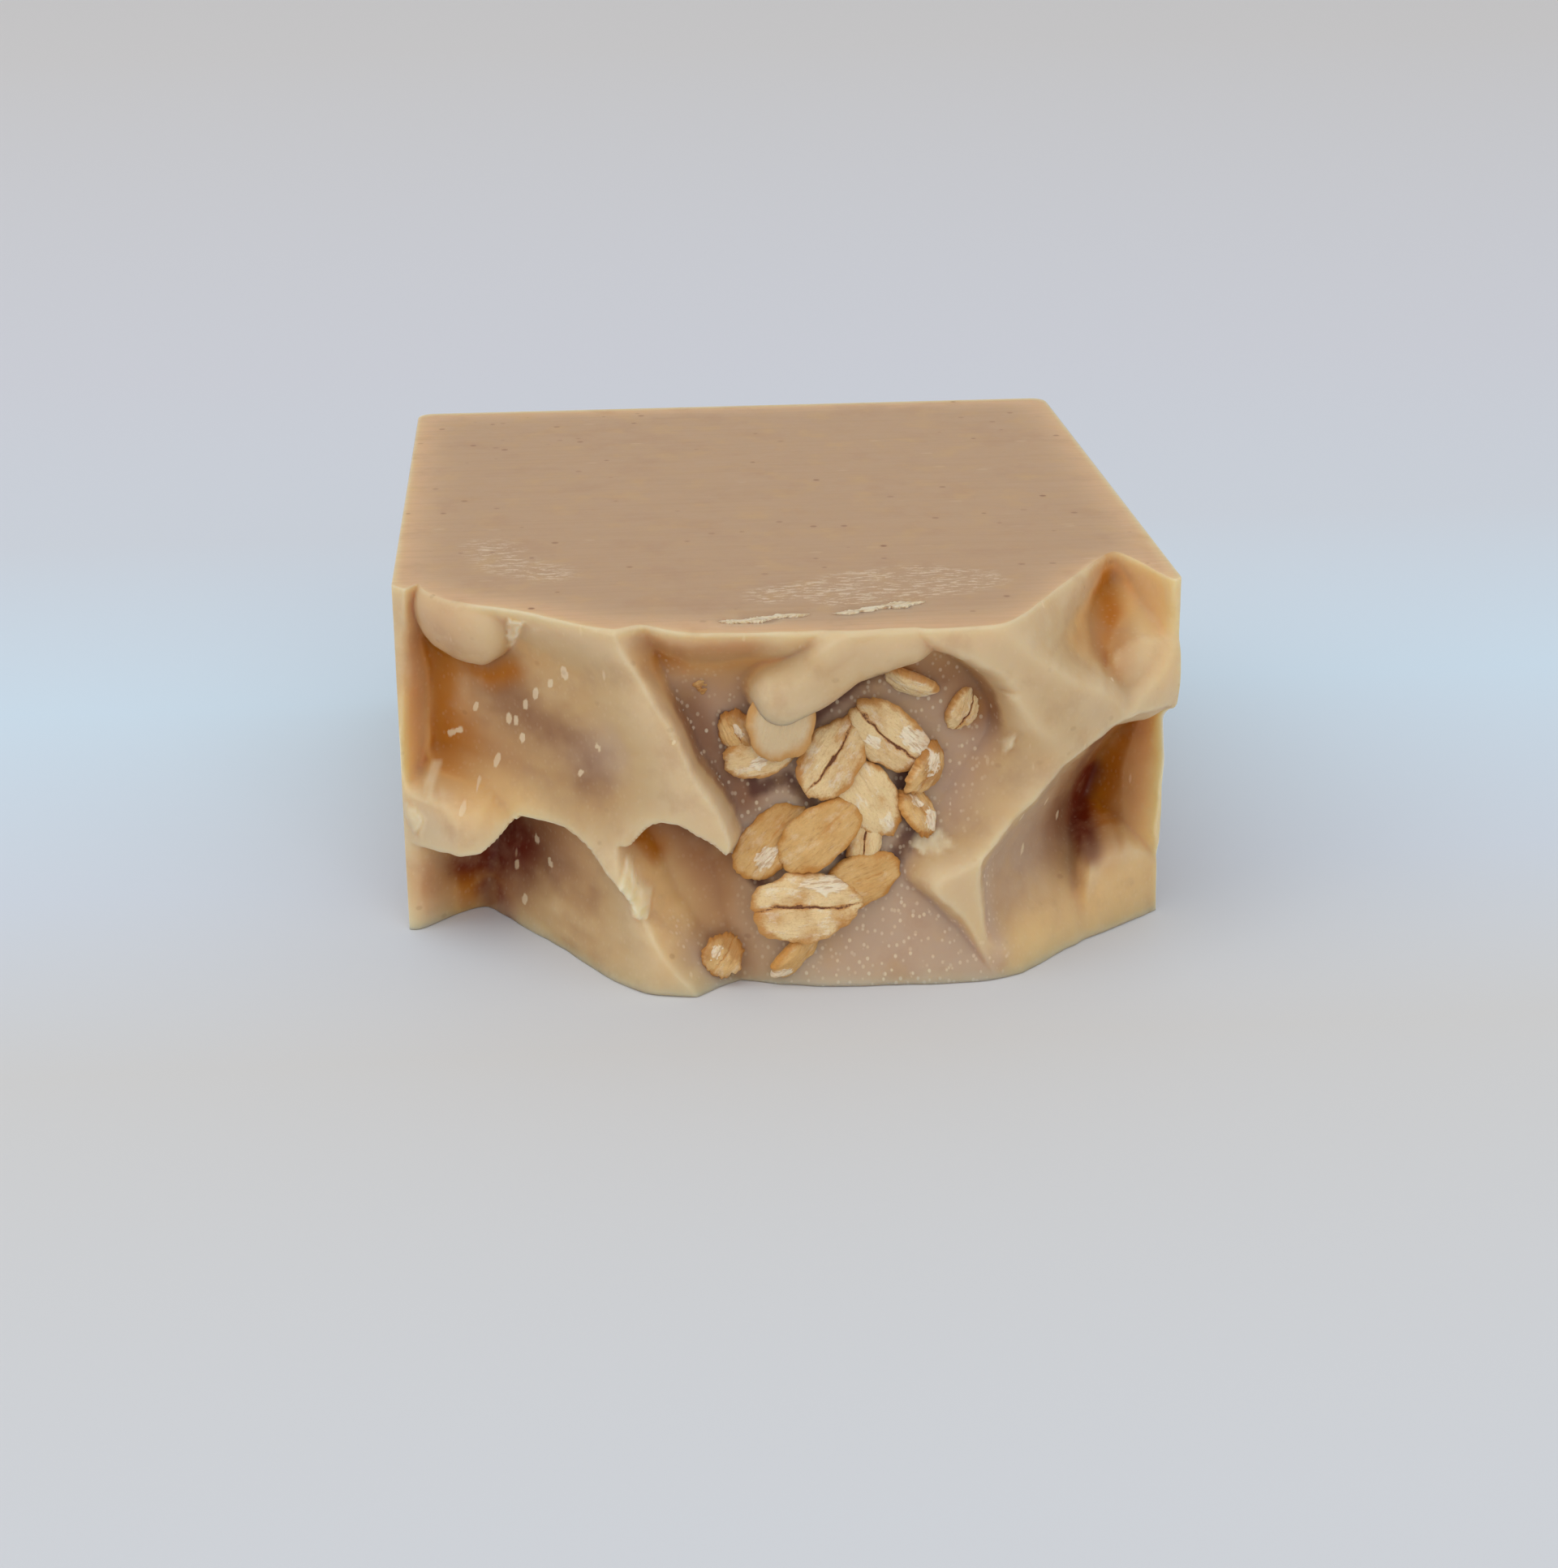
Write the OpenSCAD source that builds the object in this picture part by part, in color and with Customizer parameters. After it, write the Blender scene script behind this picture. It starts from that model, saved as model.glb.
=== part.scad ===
// Handmade oat soap bar, one slice of a moulded loaf, lying on a cut face.
// The sculpted top of the loaf faces the front (-Y), with rolled oats pressed along its middle.
// Origin: middle of the face that it lies on, half way between the flat back and the side rims.

/* [Slice] */
// Width of the loaf, between the two moulded sides
loaf_w = 67; // [62:0.5:74]
// Depth of the moulded block, from the flat back to the side rims
block_d = 63; // [55:0.5:70]
// Thickness of the slice, between its two cut faces
slice_t = 31.5; // [29:0.5:38]
// Radius of the mould's two long bottom corners
mould_r = 1.6; // [0.8:0.1:4]
// How far the left side leans out at the rim
left_flare = 0.5; // [0:0.1:1.5]
// How far the right side leans out at the rim
right_flare = 0.9; // [0:0.1:1.5]

/* [Sculpted top] */
// Height of the crown over the side rims
crown_h = 17; // [13:0.5:20]
// How much lower the crown is at the upper cut face
crown_fall = 3.2; // [0:0.1:5]
// How far the tongue stands out over the valley floor
tongue_h = 4.1; // [3:0.1:6]
// Rounding of the edges between two spoon strokes
stroke_edge = 0.3; // [0.1:0.1:1]

/* [Oats] */
// Thickness of a rolled flake
flake_t = 1.5; // [1.1:0.1:2]
// Depth of the crease along a flake
crease = 0.3; // [0.1:0.05:0.5]
// How far a flake's ends curl back
curl = 0.5; // [0:0.1:1]
// Room left round a flake in its seat
seat_gap = 0.04; // [0.02:0.01:0.1]

/* [Hidden] */

// The top was drawn on a field of this width and height, which stretches to the slice
drawn_w = 67;
drawn_t = 31.5;
wide = loaf_w / drawn_w;
tall = slice_t / drawn_t;
half = loaf_w / 2;
rim_y = -block_d / 2;
cols = 76;
rows = 36;

soap_col = [0.79, 0.64, 0.47];
oat_col = [0.76, 0.58, 0.34];

// Height over the rims is a number; every line below is [place along, place across or height]
function above0(v) = max(v, 0);
function blend(a, b, t) = a + (b - a) * t;
function smooth(v, line, s) =
    (lookup(v - s, line) + lookup(v - s / 2, line) + lookup(v, line)
     + lookup(v + s / 2, line) + lookup(v + s, line)) / 5;
function lower(a, b, k) =
    let (g = above0(k - abs(a - b)) / k) min(a, b) - g * g * k / 4;
function higher(a, b, k) = -lower(-a, -b, k);
function share(v) = min(max(v, 0), 1);
function rounded0(v, r) = (v + sqrt(v * v + r * r)) / 2;

// A spoon stroke from a to b, each [x, z, height]; rise = [left, right, below, above] per mm
function near(x, z, a, b) =
    let (u = b[0] - a[0], v = b[1] - a[1])
    share(((x - a[0]) * u + (z - a[1]) * v) / (u * u + v * v));
function stroke(x, z, a, b, rise, r) =
    let (t = near(x, z, a, b),
         dx = x - blend(a[0], b[0], t),
         dz = z - blend(a[1], b[1], t),
         kx = dx < 0 ? rise[0] : rise[1],
         kz = dz < 0 ? rise[2] : rise[3])
    blend(a[2], b[2], t) + sqrt(pow(kx * dx, 2) + pow(kz * dz, 2) + r * r) - r;

// A drooping lump along a to b, with half its width w, standing proud of its foot
function lump(x, z, a, b, w, proud, flat) =
    let (t = near(x, z, a, b),
         dx = x - blend(a[0], b[0], t),
         dz = z - blend(a[1], b[1], t),
         e = (dx * dx + dz * dz) / (w * w))
    blend(a[2], b[2], t) + (e < 1 ? proud * sqrt(1 - pow(e, flat)) : 6 * (1 - e));

// A round lump about a middle [x, z, height], canted along x
function dome(x, z, middle, reach, proud, cant) =
    let (e = pow((x - middle[0]) / reach[0], 2) + pow((z - middle[1]) / reach[1], 2))
    middle[2] + cant * (x - middle[0]) + (e < 1 ? proud * sqrt(1 - e) : 5 * (1 - e));

// The loaf's crown before it was worked with the spoon
function crown(x, z) =
    let (fall = crown_fall - (crown_fall - 0.3) * min(above0(x - 8) / 24, 1))
    0.2 + 0.03 * x + crown_h * (1 - pow(abs(x / 34.3), 2.8)) - fall * z / drawn_t;

// The valley that holds the oats: its floor, the feet and steepness of its walls, and its head,
// which rises to the upper cut face
valley_floor = [[-3, 15.2], [0, 14.4], [5, 12.8], [10, 11.4], [15, 10.2], [20, 9.3], [25, 8.6], [32, 8]];
valley_cant = [[0, 0.2], [8, 0.1], [20, 0.03]];
valley_left = [[-3, -5], [0, -5.6], [5, -6.5], [10, -6], [13.2, -4.6], [15, -5.3], [20, -8.1],
               [24.5, -10.2], [27.5, -11.2], [31.5, -12.8]];
valley_left_rise = [[0, 3], [4, 0.8], [11, 0.8], [13.5, 4], [24, 4], [27, 1.5], [31.5, 0.8]];
valley_right = [[-3, 17.6], [1.5, 16], [6, 12.2], [9.5, 8.2], [12, 10.5], [17, 13.4], [20.5, 16.2],
                [23, 16.8], [26, 15], [28.3, 12.3], [29.5, 9]];
valley_right_rise = [[0, 1.2], [6, 1.2], [8, 1.6], [9.5, 1.8], [11.5, 0.6], [13, 0.35], [17, 0.35],
                     [20.5, 0.7], [23, 2]];
valley_head = [[-13, 31], [-12, 29.5], [-10.5, 27.8], [-8, 27], [0, 26.5], [8, 27.5], [12, 29], [16, 31]];
function valley_bed(x, z) =
    let (c = min(above0(x + 5), 10))
    smooth(z, valley_floor, 2.5) + smooth(z, valley_cant, 3) * c * (1 - 0.03 * c);
function valley(x, z) =
    valley_bed(x, z)
    + smooth(z, valley_left_rise, 1) * above0(smooth(z, valley_left, 0.8) - x)
    + smooth(z, valley_right_rise, 1) * above0(x - smooth(z, valley_right, 1.2))
    + 1.24 * rounded0(z - smooth(x, valley_head, 1.5), 2);

// The hollow under the left crest, with its arched top
arch_floor = [[-3, 14.4], [0, 13.6], [5, 11.4], [9, 9.6], [13, 8.6]];
arch_left = [[-3, -4], [0, -5.2], [4, -8], [8, -10.6], [12.5, -12.6]];
arch_right = [[0, -5], [5, -6.5], [12, -8]];
arch_top = [[-14, 12.2], [-13, 13.2], [-11.5, 13.8], [-9.5, 13.4], [-7.5, 12], [-6, 10.5]];
function arch(x, z) =
    smooth(z, arch_floor, 2)
    + 0.85 * above0(smooth(z, arch_left, 1) - x)
    + 0.35 * above0(x - smooth(z, arch_right, 1))
    + 4 * above0(z - smooth(x, arch_top, 0.6));

// The deep hollow at the lower left, under its shelf
shelf = [[-33, 8.4], [-30.8, 7.7], [-28.8, 7.1], [-27, 7.5], [-25.6, 8.6], [-24.6, 10], [-23.4, 11.1],
         [-22, 11.5], [-20.3, 11.8], [-19, 11.5], [-17.5, 10.6], [-16.5, 9.4], [-14.9, 8],
         [-12, 5.6], [-9.2, 3], [-6.8, 0.3], [-5, -2]];
function lower_left(x, z) =
    stroke(x, z, [-25.4, 8.5, -5], [-27.4, -1, -4.2], [1, 1.7, 1, 0.8], 1.2)
    + 5 * above0(z - smooth(x, shelf, 0.4));

// The crescent hollow at the right: its floor, crease and walls, and the crest over it
crescent_floor = [[0, 6.7], [3, 4.9], [5.5, 2], [8, -4], [10, -6.5], [13, -6], [16, -4], [19, -1.5], [21, 0]];
crescent_crease = [[0, 27.5], [8, 27.4], [10, 27.7], [14, 29.2], [17, 30.8], [20, 32.5]];
crescent_left_rise = [[0, 0.93], [5, 1.05], [8, 1.4], [12, 1.6]];
crescent_right_rise = [[0, -0.8], [3, -0.7], [6, 0.2], [8, 1.2], [10, 1.4]];
crescent_left = [[-2, 16.5], [3, 16.6], [8, 16.6], [12, 17.4], [15, 18.8], [17, 20.6], [19, 24]];
crescent_top = [[14, 13.5], [15, 15.1], [16, 16.2], [17, 17.2], [19.6, 19], [23, 20.2], [27.4, 20.5],
                [32, 20], [34, 19.4]];
function crescent(x, z) =
    let (d = x - smooth(z, crescent_crease, 1.5))
    smooth(z, crescent_floor, 1)
    + smooth(z, crescent_left_rise, 1) * rounded0(-d, 0.7)
    + smooth(z, crescent_right_rise, 1) * rounded0(d, 0.7)
    + 2 * above0(smooth(z, crescent_left, 0.8) - x)
    + 5 * above0(z - smooth(x, crescent_top, 0.8));

// The narrow groove that opens in the upper face beside the right rim
groove_floor = [[22, -4], [27, -5.6], [31.5, -7]];
groove_crease = [[22, 28.4], [26, 28.8], [31.5, 29.5]];
groove_left_rise = [[22, 5], [25, 3.2], [28, 2.1], [31.5, 1.6]];
groove_right_rise = [[22, 1.5], [28, 2], [31.5, 2.9]];
function right_groove(x, z) =
    let (d = x - smooth(z, groove_crease, 1))
    smooth(z, groove_floor, 1)
    + smooth(z, groove_left_rise, 1) * rounded0(-d, 0.5)
    + smooth(z, groove_right_rise, 1) * rounded0(d, 0.5)
    + 4 * above0(25.8 - z);

// The mound below the crescent, with its brow
mound_brow = [[20, 7], [26.5, 7.2], [28, 7.9], [30, 7.9], [32, 6.9], [33.8, 5]];
function mound(x, z) =
    6.7 - 0.8 * (x - 27.5) - 0.12 * z - 1.2 * above0(26.5 - x)
    - 4 * rounded0(z - smooth(x, mound_brow, 0.8), 1.2);

// The relief is worked stroke by stroke: [which way, form, softness], -1 cuts down to the form
function strokes(x, z) =
    let (top = crown(x, z),
         under_top = share(above0(z - 25) * above0(x + 12.5) / 6),
         on_bank = share((x - 9) / 4) * share((26 - z) / 3) * share((z - 8) / 3),
         over_tongue = share(((z - 25.4) * 0.83 - (x + 1.4) * 0.55) / 2))
    [[-1, stroke(x, z, [-30.8, 26, -4.4], [-30.4, 16.5, -4], [2, 1.06, 1.5, 1.5], 1.6), 2.5],
     [-1, stroke(x, z, [-31.6, 23, -4], [-30.7, 33, -3.2], [1.7, 2, 2, 2], 0.6), 0.8],
     [-1, right_groove(x, z), 2.5],
     [-1, valley(x, z), stroke_edge + 2.2 * under_top + 3 * on_bank],
     [1, dome(x, z, [-28.6, 11, 1.2], [4.9, 2.9], 3.6, 0.1), 1.6],
     [-1, lower(top, lower_left(x, z), 3), stroke_edge],
     [-1, arch(x, z), stroke_edge],
     [-1, crescent(x, z), stroke_edge + 0.1],
     [1, mound(x, z), 1.4],
     [1, dome(x, z, [-27.4, 29.3, -1], [4.3, 4.2], 4.5, 0.5), 0.8],
     [1, lump(x, z, [3.4, 28.4, 9.8], [-1.3, 25.4, 10], 2.9, tongue_h, 1.6),
      stroke_edge + 2.2 * over_tongue],
     [1, lump(x, z, [9.2, 31.6, 9.4], [3.4, 29.4, 9.7], 3.1, tongue_h + 0.1, 1.6),
      stroke_edge + 2.2 * over_tongue]];
function work(h, s) = s[0] < 0 ? lower(h, s[1], s[2]) : higher(h, s[1], s[2]);
function worked(x, z) =
    let (list = strokes(x, z))
    [for (i = 0, h = crown(x, z); i <= len(list);
          h = i < len(list) ? work(h, list[i]) : h, i = i + 1)
     [h, i < len(list) ? h - list[i][1] : 0]];
function relief(x, z) = let (w = worked(x, z)) w[len(w) - 1][0];

// Grid points close to a crest or a crease are drawn onto it, so it runs clean through the mesh
function to_crest(p, reach) =
    let (e = 0.02,
         w = worked(p[0], p[1]),
         wx = worked(p[0] + e, p[1]),
         wz = worked(p[0], p[1] + e),
         last = len(w) - 1,
         moves = [for (i = [0 : last - 1])
                  let (d = w[i][1], gx = (wx[i][1] - d) / e, gz = (wz[i][1] - d) / e,
                       g = gx * gx + gz * gz + 0.001)
                  if (abs(w[i + 1][0] - w[last][0]) < 0.6 && abs(d) < reach * sqrt(g) && g > 0.2)
                  [-d * gx / g, -d * gz / g]],
         sizes = [for (m = moves) norm(m)])
    len(moves) == 0 ? p : p + moves[search(min(sizes), sizes)[0]];

// One ring round the slice at height z: the relief, then the moulded sides and the back
side_steps = [0.15, 0.35, 0.6];
corner_steps = [0, 30, 60, 90];
right_edge = [[0, -0.1], [12, 0], [14.5, 0.25], [18.5, 0], [19.8, 1], [31.5, 1]];
function lean(x, z) =
    pow(x / half, 4) * (x < 0 ? -left_flare : right_flare * smooth(z / tall, right_edge, 0.4));
function face_point(i, k) =
    let (z = slice_t * k / rows,
         x = -half + loaf_w * i / cols,
         p = [x / wide, z / tall],
         inner = i > 0 && i < cols,
         q = inner ? to_crest(p, 0.36) : p,
         u = [q[0], k > 0 && k < rows ? q[1] : p[1]])
    [u[0] * wide + lean(u[0] * wide, u[1] * tall), rim_y - relief(u[0], u[1]), u[1] * tall];
function side_point(x, y, s, z) = [x + lean(x, z) * pow(1 - s, 2), blend(y, block_d / 2 - mould_r, s), z];
function corner_point(side, a, z) =
    [side * (half - mould_r + mould_r * cos(a)), block_d / 2 - mould_r + mould_r * sin(a), z];
function ring(k) =
    let (z = slice_t * k / rows, right = face_point(cols, k), left = face_point(0, k))
    concat([for (i = [0 : cols]) face_point(i, k)],
           [for (s = side_steps) side_point(half, right[1], s, z)],
           [for (a = corner_steps) corner_point(1, a, z)],
           [for (i = [3 : -1 : 0]) corner_point(-1, corner_steps[i], z)],
           [for (i = [2 : -1 : 0]) side_point(-half, left[1], side_steps[i], z)]);

module sculpted_slice() {
    n = cols + 1 + 2 * (len(side_steps) + len(corner_steps));
    points = [for (k = [0 : rows]) each ring(k)];
    quads = [for (k = [0 : rows - 1]) for (i = [0 : n - 1])
             [k * n + i, (k + 1) * n + i, (k + 1) * n + (i + 1) % n, k * n + (i + 1) % n]];
    // Each quad is split along the diagonal that lies closer to the true relief
    function off(a, b) =
        let (m = (points[a] + points[b]) / 2)
        abs(rim_y - relief(m[0] / wide, m[2] / tall) - m[1]);
    walls = [for (j = [0 : len(quads) - 1])
             let (q = quads[j])
             each j % n < cols && off(q[0], q[2]) > off(q[1], q[3])
                  ? [[q[0], q[1], q[3]], [q[1], q[2], q[3]]]
                  : [[q[0], q[1], q[2]], [q[0], q[2], q[3]]]];
    floor_face = [[for (i = [0 : n - 1]) i]];
    top_face = [[for (i = [n - 1 : -1 : 0]) rows * n + i]];
    polyhedron(points, concat(floor_face, walls, top_face), convexity = 8);
}

// The flakes: [x, z, length, width, spin, lift off the bed, pitch, roll, turn, flakes lying over it]
flakes = [
    [7.8, 20.9, 8.2, 5.3, -40, 1.5, 0, 8, 0, [2, 1]],
    [2.9, 19.3, 8, 5.2, 55, 1.7, 4, -8, 0, []],
    [6.1, 15.4, 7.4, 4.8, -58, 1.2, 4, 0, 0, [1, 3, 0]],
    [1.8, 12.8, 8.4, 4.9, 37, 1.9, 0, -4, 0, []],
    [-2.3, 12.2, 8, 4.7, 45, 0.6, 0, -12, 0, [3]],
    [5.65, 12.2, 5.8, 3, 80, 0.45, 0, 6, 0, [2, 3, 7]],
    [5.3, 8.8, 7.2, 4.4, 22, 0.65, 0, 6, 0, [3, 7, 5]],
    [0.4, 6.7, 9.6, 5.9, 3, 1.8, 0, -6, 0, [3]],
    [-6.7, 2.7, 3.9, 3.6, 60, 0.4, 0, 0, 0, []],
    [-0.3, 2.8, 5.8, 3.4, 45, 0.3, 0, 50, 0, [7]],
    [14.4, 22.7, 4.6, 3, 63, 0, 0, 25, 0, []],
    [9.7, 25.2, 5.2, 2.6, -22, 0.5, 0, 45, 0, [0]],
    [-1.4, 23.4, 8, 5.8, 82, 3.4, 0, 0, 0, []],
    [-4.9, 21.3, 4.4, 3.2, -62, 0.8, 0, 20, 0, [12, 14]],
    [-3.1, 19.5, 6.4, 3.8, 12, 1, 0, -6, 0, [12, 1]],
    [11, 17.9, 5, 3.2, 62, 1.4, 0, 40, 0, [0, 2]],
    [10.3, 14.3, 4.8, 3, -60, 0.9, 0, -30, 0, [2, 15]],
    [-7.9, 25.6, 2.2, 1.8, 30, 0, 0, 20, 0, []]
];

// The valley's bed under a flake, and how far it leans back there
function bed_y(f) = rim_y - valley_bed(f[0], f[1]);
function bed_lean(f) = atan((valley_bed(f[0], f[1] - 2) - valley_bed(f[0], f[1] + 2)) / (4 * tall));

// A rolled flake with its long axis along X: domed and creased on top, its ends drooping
flake_segs = 12;
function flake_ring(l, w, r, z, droop) =
    [for (i = [0 : flake_segs - 1])
     let (a = 360 * i / flake_segs, x = r * cos(a), y = r * sin(a) * (1 - 0.12 * cos(a)),
          groove = abs(y) < 0.01 && r < 0.9 ? crease * (1 - r * r) : 0)
     [x * l / 2, y * w / 2, z * flake_t / 2 - droop * x * x - groove * (z > 0 ? 1 : 0)]];
module flake_form(l, w) {
    n = flake_segs;
    points = concat(flake_ring(l, w, 1, 0, curl),
                    flake_ring(l, w, 0.82, 0.62, curl),
                    flake_ring(l, w, 0.45, 0.93, curl),
                    flake_ring(l, w, 0.66, -0.85, 0.1),
                    [[0, 0, flake_t / 2 - crease], [0, 0, -flake_t / 2]]);
    function strip(a, b) = [for (i = [0 : n - 1]) each
                            [[a * n + i, b * n + (i + 1) % n, a * n + (i + 1) % n],
                             [a * n + i, b * n + i, b * n + (i + 1) % n]]];
    faces = concat(strip(0, 1), strip(1, 2), strip(3, 0),
                   [for (i = [0 : n - 1]) [2 * n + i, 4 * n, 2 * n + (i + 1) % n]],
                   [for (i = [0 : n - 1]) [3 * n + (i + 1) % n, 4 * n + 1, 3 * n + i]]);
    polyhedron(points, faces, convexity = 4);
}
module placed(f) {
    translate([f[0] * wide, bed_y(f), f[1] * tall])
        rotate([0, 0, f[8]])
            rotate([90 - bed_lean(f), 0, 0])
                translate([0, 0, f[5]])
                    rotate([0, 0, f[4]])
                        rotate([f[7], f[6], 0])
                            children();
}
module flake(f, grow) placed(f) flake_form(f[2] + 2 * grow, f[3] + 2 * grow);

// The room that a flake takes up in what lies round it
module seat(f) hull() placed(f) {
    translate([0, 0, seat_gap]) flake_form(f[2] + 2 * seat_gap, f[3] + 2 * seat_gap);
    translate([0, 0, -seat_gap]) flake_form(f[2] + 2 * seat_gap, f[3] + 2 * seat_gap);
}

// Two flakes that the knife cut through, [x, y, length, width, spin, roll]
cut_flakes = [[-2.6, -40.4, 7.8, 5, 11, 3], [7.3, -38.5, 8.6, 5, 18, -4]];
cut_depth = 1.6;
module cut_placed(c) {
    translate([c[0] * wide, c[1] - (block_d - 63) / 2, slice_t - cut_depth])
        rotate([90 + c[5], 0, c[4]])
            children();
}
module cut_flake(c) {
    color(oat_col) intersection() {
        cut_placed(c) flake_form(c[2], c[3]);
        translate([-loaf_w, -block_d, 0]) cube([2 * loaf_w, 2 * block_d, slice_t]);
    }
}
module cut_seat(c) hull() cut_placed(c) {
    translate([0, 0, seat_gap]) flake_form(c[2] + 2 * seat_gap, c[3] + 2 * seat_gap);
    translate([0, 0, -seat_gap]) flake_form(c[2] + 2 * seat_gap, c[3] + 2 * seat_gap);
}

module soap_bar() {
    color(soap_col) difference() {
        sculpted_slice();
        for (f = flakes) seat(f);
        for (c = cut_flakes) cut_seat(c);
    }
}
module oat(i) {
    color(oat_col) difference() {
        flake(flakes[i], 0);
        for (j = flakes[i][9]) seat(flakes[j]);
    }
}

soap_bar();
oat(0);  // oat_upper_right
oat(1);  // oat_upper_middle
oat(2);  // oat_centre
oat(3);  // oat_golden
oat(4);  // oat_left_of_golden
oat(5);  // oat_small_upright
oat(6);  // oat_under_broad
oat(7);  // oat_broad
oat(8);  // oat_round_end
oat(9);  // oat_on_edge
oat(10);  // oat_in_bank
oat(11);  // oat_under_lip
oat(12);  // oat_under_tongue
oat(13);  // oat_chip_left
oat(14);  // oat_below_tongue
oat(15);  // oat_husk_right
oat(16);  // oat_chip_right
oat(17);  // oat_speck_left
cut_flake(cut_flakes[0]);  // oat_sliver_left
cut_flake(cut_flakes[1]);  // oat_sliver_right
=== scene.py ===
"""A slice of handmade oat soap lying on a cut face, its sculpted loaf top towards the viewer."""
import math
import bpy
import numpy as np
from mathutils import Matrix, Vector


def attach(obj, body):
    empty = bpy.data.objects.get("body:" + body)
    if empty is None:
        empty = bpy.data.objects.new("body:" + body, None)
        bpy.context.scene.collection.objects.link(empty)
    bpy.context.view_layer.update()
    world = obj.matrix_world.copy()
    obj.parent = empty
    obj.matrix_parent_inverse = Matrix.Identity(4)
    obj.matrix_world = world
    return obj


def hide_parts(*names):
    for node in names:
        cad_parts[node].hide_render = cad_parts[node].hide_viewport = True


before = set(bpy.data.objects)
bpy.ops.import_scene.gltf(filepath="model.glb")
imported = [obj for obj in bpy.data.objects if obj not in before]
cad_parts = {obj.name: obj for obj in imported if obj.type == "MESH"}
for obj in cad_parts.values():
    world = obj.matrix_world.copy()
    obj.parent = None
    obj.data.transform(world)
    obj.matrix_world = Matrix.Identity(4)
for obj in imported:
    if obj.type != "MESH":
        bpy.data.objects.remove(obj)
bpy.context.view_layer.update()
MM = 0.001

# The camera stands a little left of the bar and looks down on its top and its sculpted front.
# Its frame is 1920 by 1932, so the sensor's long side is the height.
frame_high, focal_px = 1932, 3500
eye_mm = (-20.4, -265.5, 106.0)
turn, dip, roll = (math.radians(a) for a in (4.82, 21.64, 0.32))
ahead = np.array([math.sin(turn) * math.cos(dip), math.cos(turn) * math.cos(dip), -math.sin(dip)])
right = np.array([math.cos(turn), -math.sin(turn), 0.0])
down = np.cross(ahead, right)
right, down = (right * math.cos(roll) + down * math.sin(roll),
               down * math.cos(roll) - right * math.sin(roll))
lens = bpy.data.cameras.new("camera")
lens.sensor_width = 36
lens.lens = focal_px * lens.sensor_width / frame_high
lens.clip_start = 0.01
camera = bpy.data.objects.new("camera", lens)
bpy.context.collection.objects.link(camera)
axes = [[right[i], -down[i], -ahead[i], eye_mm[i] * MM] for i in range(3)]
camera.matrix_world = Matrix(axes + [[0, 0, 0, 1]])
bpy.context.scene.camera = camera

# The soap: one slice of a loaf of cold-process soap, cast in a box mould and cut with a wire.
# Before it set, the loaf's top was worked with a spoon, stroke by stroke; each stroke is a form
# that cuts down to itself or stands proud, measured in mm over the rims of the two moulded sides.
loaf_w, block_d, slice_t = 67.0, 63.0, 31.5
mould_r, left_flare, right_flare = 1.6, 0.5, 0.9
rim_y = -block_d / 2


def above0(v):
    return np.maximum(v, 0)


def lower(a, b, k):
    g = np.clip((k - np.abs(a - b)) / k, 0, 1)
    return np.minimum(a, b) - g * g * k / 4


def higher(a, b, k):
    return -lower(-a, -b, k)


def follow(v, line, soft):
    """The value of a drawn line at v, softened over a span: line is [[place, value], ...]."""
    at, value = np.array(line, float).T
    return sum(np.interp(v + s, at, value) for s in (-soft, -soft / 2, 0, soft / 2, soft)) / 5


def nearest(x, z, a, b):
    u, v = b[0] - a[0], b[1] - a[1]
    t = np.clip(((x - a[0]) * u + (z - a[1]) * v) / (u * u + v * v), 0, 1)
    return t, x - a[0] - u * t, z - a[1] - v * t


def stroke(x, z, a, b, rise, r):
    t, dx, dz = nearest(x, z, a, b)
    kx = np.where(dx < 0, rise[0], rise[1])
    kz = np.where(dz < 0, rise[2], rise[3])
    return a[2] + (b[2] - a[2]) * t + np.sqrt((kx * dx) ** 2 + (kz * dz) ** 2 + r * r) - r


def lump(x, z, a, b, w, proud, flat):
    t, dx, dz = nearest(x, z, a, b)
    e = (dx * dx + dz * dz) / (w * w)
    bulge = np.where(e < 1, proud * np.sqrt(np.clip(1 - e ** flat, 0, 1)), 6 * (1 - e))
    return a[2] + (b[2] - a[2]) * t + bulge


def dome(x, z, middle, reach, proud, cant):
    e = ((x - middle[0]) / reach[0]) ** 2 + ((z - middle[1]) / reach[1]) ** 2
    bulge = np.where(e < 1, proud * np.sqrt(np.clip(1 - e, 0, 1)), 5 * (1 - e))
    return middle[2] + cant * (x - middle[0]) + bulge


def rounded0(v, r):
    """above0 with its corner rounded over about r."""
    return (v + np.sqrt(v * v + r * r)) / 2


def crown(x, z):
    fall = 3.2 - 2.9 * np.clip((x - 8) / 24, 0, 1)
    return 0.2 + 0.03 * x + 17.0 * (1 - np.abs(x / 34.3) ** 2.8) - fall * z / slice_t


def valley_bed(x, z):
    floor = follow(z, [[-3, 15.2], [0, 14.4], [5, 12.8], [10, 11.4], [15, 10.2], [20, 9.3], [25, 8.6],
                       [32, 8]], 2.5)
    cant = follow(z, [[0, 0.2], [8, 0.1], [20, 0.03]], 3)
    c = np.clip(x + 5, 0, 10)
    return floor + cant * c * (1 - 0.03 * c)


def head(x, z):
    """The rise from the valley's floor to the upper cut face."""
    foot = follow(x, [[-13, 31], [-12, 29.5], [-10.5, 27.8], [-8, 27], [0, 26.5], [8, 27.5], [12, 29],
                      [16, 31]], 1.5)
    return 0.62 * (z - foot + np.sqrt((z - foot) ** 2 + 4))


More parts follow.
